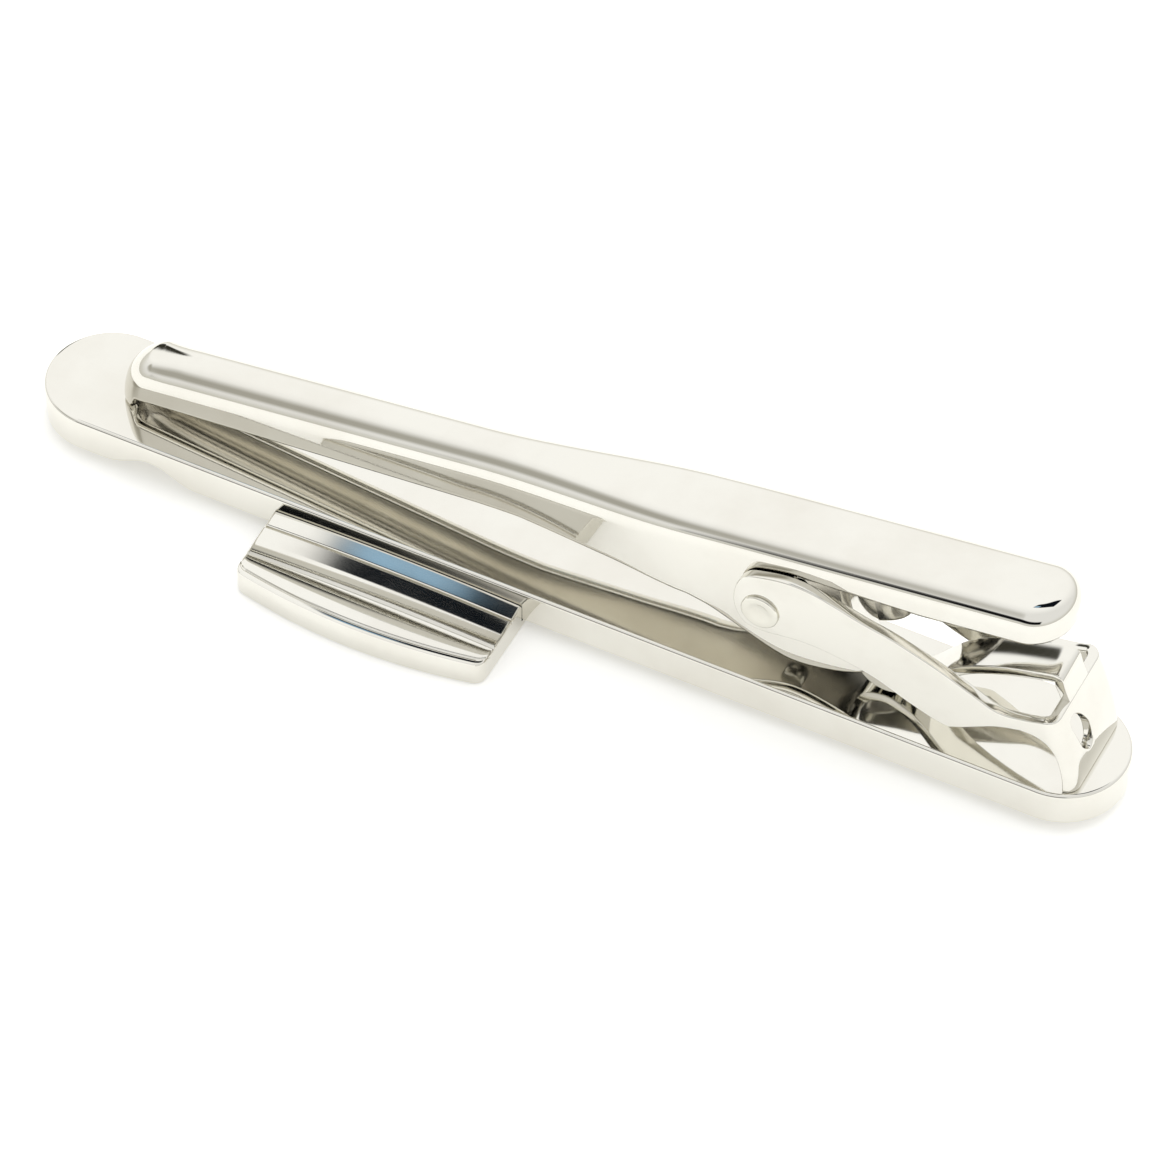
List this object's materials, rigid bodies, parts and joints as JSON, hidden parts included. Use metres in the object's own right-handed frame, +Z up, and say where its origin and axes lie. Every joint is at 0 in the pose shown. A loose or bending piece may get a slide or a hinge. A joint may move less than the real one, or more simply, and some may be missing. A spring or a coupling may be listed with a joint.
{
  "type": "tie clip",
  "caption": "Polished metal tie clip: a round-ended bar with a bowed front plaque, and a sprung channel arm on its back that pinches the tie.",
  "frame": {"origin": "middle of the plaque's front face along the bar, on the bar's centre line; the clip lies on this face", "axes": "+X along the bar from the jaw to the bracket, +Y away from the side the plaque hangs out on, +Z up from the plaque's front face to the arm"},
  "size_m": [0.06, 0.0129, 0.0133],
  "materials": {
    "polished_bar": "mirror-polished rhodium-coloured plating over brass",
    "polished_plaque": "mirror-polished plating on a casting",
    "bracket_sheet": "plated stamped sheet, slightly softer than the bar",
    "spring_sheet": "plated spring sheet",
    "polished_arm": "mirror-polished plating on pressed sheet",
    "rivet_steel": "plated rivet with a turned head"
  },
  "bodies": {
    "frame": {"bar": "polished_bar", "front_plaque": "polished_plaque", "pivot_bracket": "bracket_sheet", "spring_tongue": "spring_sheet", "rivet_near": "rivet_steel", "rivet_far": "rivet_steel"},
    "arm": {"clip_arm": "polished_arm"}
  },
  "joints": [
    {"name": "arm_pivot", "type": "hinge", "parent": "frame", "child": "arm", "pos_m": [0.0197, 0, 0.00738], "axis": [0, 1, 0], "range_deg": [0, 10], "stiffness_Nm_per_rad": 0.05, "springref_deg": -17.19, "deforming": ["spring_tongue"]}
  ]
}
